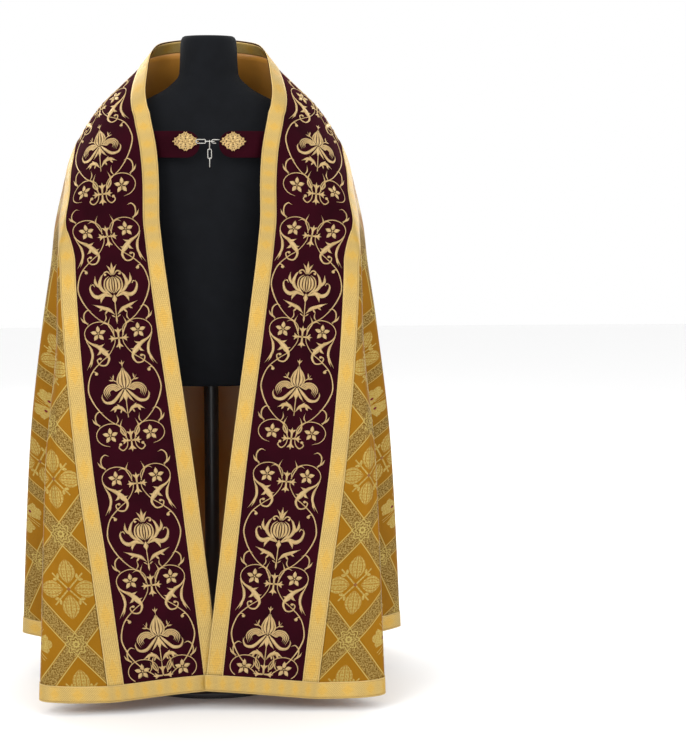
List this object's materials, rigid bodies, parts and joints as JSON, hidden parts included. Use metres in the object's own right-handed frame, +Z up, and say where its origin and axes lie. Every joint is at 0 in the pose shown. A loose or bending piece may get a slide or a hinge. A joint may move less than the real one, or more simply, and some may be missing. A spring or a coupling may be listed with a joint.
{
  "type": "cope vestment on a dress form",
  "caption": "Semicircular ceremonial cloak with velvet orphreys, back hood with fringe and a chain clasp, hung on a limbless dress form with a round base.",
  "frame": {"origin": "centre of the base's underside, on the floor", "axes": "+Z up; -Y is the open front with the clasp; +X is the wearer's left (the viewer's right seen from the front)"},
  "size_m": [0.851, 0.6074, 1.4132],
  "materials": {
    "brocade": "gold brocade with a silver-gold lattice, satin sheen",
    "velvet": "deep burgundy velvet with raised gold embroidery",
    "galloon": "woven gold braid, low metallic sheen",
    "lining": "orange-gold satin",
    "fringe": "bullion fringe, twisted gold strands",
    "clasp": "pale gilt filigree",
    "chain": "silver wire",
    "form": "black jersey cover, matt",
    "stand": "black, semi-matt"
  },
  "bodies": {
    "cope": {"body_left": "brocade", "body_right": "brocade", "body_back": "brocade", "orphrey_left": "velvet", "orphrey_right": "velvet", "hood": "velvet", "strap_left": "velvet", "strap_right": "velvet", "galloon_edge_left": "galloon", "galloon_edge_right": "galloon", "galloon_outer_left": "galloon", "galloon_outer_right": "galloon", "galloon_centre_back": "galloon", "galloon_hem": "galloon", "galloon_hood": "galloon", "lining": "lining", "fringe_hood": "fringe", "clasp_left": "clasp", "clasp_right": "clasp", "link_1": "chain", "link_2": "chain", "hook": "chain", "form_torso": "form", "stand_pole": "stand", "stand_base": "stand"},
    "chain_tail": {"link_3": "chain", "link_4": "chain", "link_5": "chain"}
  },
  "joints": [
    {"name": "chain_swing", "type": "hinge", "parent": "cope", "child": "chain_tail", "pos_m": [0.0005, -0.1414, 1.184], "axis": [-1, 0, 0], "range_deg": [-15, 70]}
  ]
}
